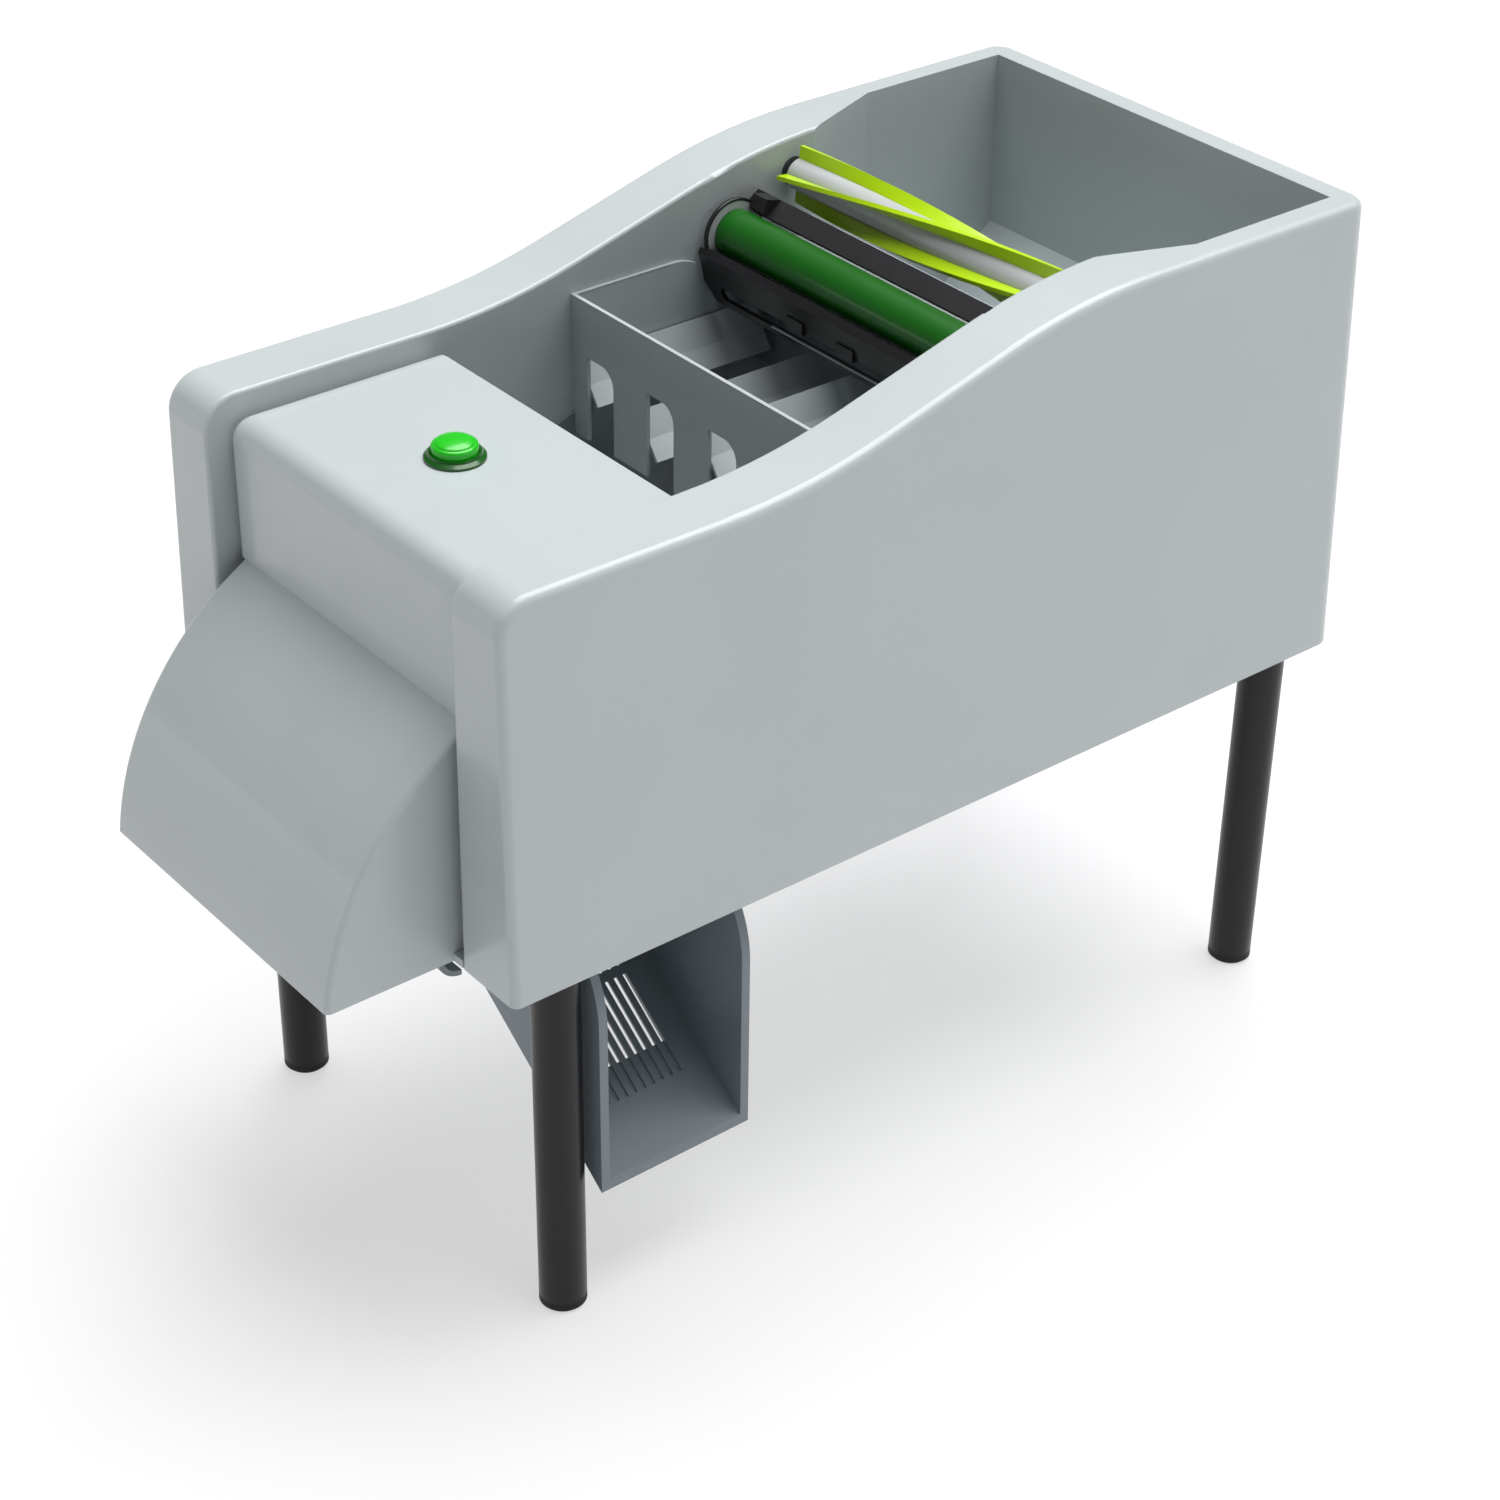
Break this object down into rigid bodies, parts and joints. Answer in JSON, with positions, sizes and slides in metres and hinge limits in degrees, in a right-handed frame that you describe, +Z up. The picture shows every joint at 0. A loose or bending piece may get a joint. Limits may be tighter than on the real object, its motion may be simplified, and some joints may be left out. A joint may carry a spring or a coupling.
{
  "type": "electric pea sheller",
  "caption": "Box-shaped pea sheller on legs, with a rising side profile, open hopper, finned agitator and rubber roller, curved husk hood in front and a slotted pea chute at one side.",
  "frame": {"origin": "on the table under the middle of the overall outline", "axes": "+X from the husk hood to the hopper, +Z up, the pea chute opens to -Y"},
  "size_m": [0.4287, 0.2024, 0.3283],
  "materials": {
    "shell_plastic": "semi-gloss moulded",
    "inner_plastic": "satin moulded",
    "chute_plastic": "satin moulded",
    "black_plastic": "satin moulded",
    "lime_plastic": "semi-gloss moulded",
    "pale_plastic": "semi-gloss moulded",
    "roller_rubber": "ground smooth",
    "button_green": "glossy",
    "bezel_green": "glossy",
    "gear_plastic": "satin moulded",
    "steel": "turned",
    "motor_steel": "zinc plated",
    "leg_metal": "smooth black coat",
    "foot_rubber": "matt",
    "bush_plastic": "satin moulded"
  },
  "bodies": {
    "base": {"agitator_bushes": "bush_plastic", "base_plate": "inner_plastic", "base_plate_screws": "steel", "button_bezel": "bezel_green", "button_sleeve": "foot_rubber", "control_base": "inner_plastic", "control_cover": "shell_plastic", "counter_bushes": "bush_plastic", "feed_plate": "inner_plastic", "foot_back_far": "foot_rubber", "foot_back_near": "foot_rubber", "foot_front_far": "foot_rubber", "foot_front_near": "foot_rubber", "gearbox_case": "motor_steel", "hopper_floor": "inner_plastic", "housing": "shell_plastic", "husk_floor": "inner_plastic", "husk_hood": "shell_plastic", "idler_pin": "steel", "leg_back_far": "leg_metal", "leg_back_near": "leg_metal", "leg_front_far": "leg_metal", "leg_front_near": "leg_metal", "motor_can": "motor_steel", "motor_shroud": "inner_plastic", "nip_cover": "black_plastic", "pea_chute": "chute_plastic", "pea_slide": "inner_plastic", "power_inlet": "black_plastic", "roller_bushes": "bush_plastic", "roller_guard": "black_plastic", "separator_frame": "inner_plastic", "separator_louvres": "shell_plastic", "side_cover_far": "inner_plastic", "side_cover_near": "inner_plastic", "side_cover_screws": "steel", "switch_body": "black_plastic"},
    "roller": {"roller_shaft": "steel", "roller_core": "pale_plastic", "rubber_roller": "roller_rubber", "roller_flanges": "pale_plastic", "roller_gear": "gear_plastic", "sync_gear_upper": "gear_plastic"},
    "counter": {"counter_roller": "steel", "sync_gear_lower": "gear_plastic"},
    "agitator": {"agitator_shaft": "steel", "agitator_tube": "pale_plastic", "agitator_blades": "lime_plastic", "agitator_gear": "gear_plastic"},
    "idler": {"idler_gear": "gear_plastic"},
    "drive": {"motor_shaft": "steel", "drive_pinion": "gear_plastic"},
    "button": {"button_cap": "button_green"}
  },
  "joints": [
    {"name": "roller_spin", "type": "hinge", "parent": "base", "child": "roller", "pos_m": [0.0553, 0, 0.2995], "axis": [0, 1, 0], "continuous": true},
    {"name": "counter_spin", "type": "hinge", "parent": "base", "child": "counter", "pos_m": [0.06322, 0, 0.28251], "axis": [0, 1, 0], "continuous": true},
    {"name": "agitator_spin", "type": "hinge", "parent": "base", "child": "agitator", "pos_m": [0.0866, 0, 0.314], "axis": [0, 1, 0], "continuous": true},
    {"name": "idler_spin", "type": "hinge", "parent": "base", "child": "idler", "pos_m": [0.09201, 0, 0.28069], "axis": [0, 1, 0], "continuous": true},
    {"name": "drive_spin", "type": "hinge", "parent": "base", "child": "drive", "pos_m": [0.09201, 0, 0.24819], "axis": [0, 1, 0], "continuous": true},
    {"name": "button_press", "type": "slide", "parent": "base", "child": "button", "axis": [0, 0, -1], "range_m": [0, 0.003], "stiffness_N_per_m": 400, "springref_m": -0.001, "deforming": ["button_sleeve"]}
  ],
  "couplings": [
    {"joint": "counter_spin", "follows": "roller_spin", "ratio": -1},
    {"joint": "idler_spin", "follows": "roller_spin", "ratio": -0.65},
    {"joint": "agitator_spin", "follows": "roller_spin", "ratio": 1.8571},
    {"joint": "drive_spin", "follows": "roller_spin", "ratio": 2.1667}
  ]
}
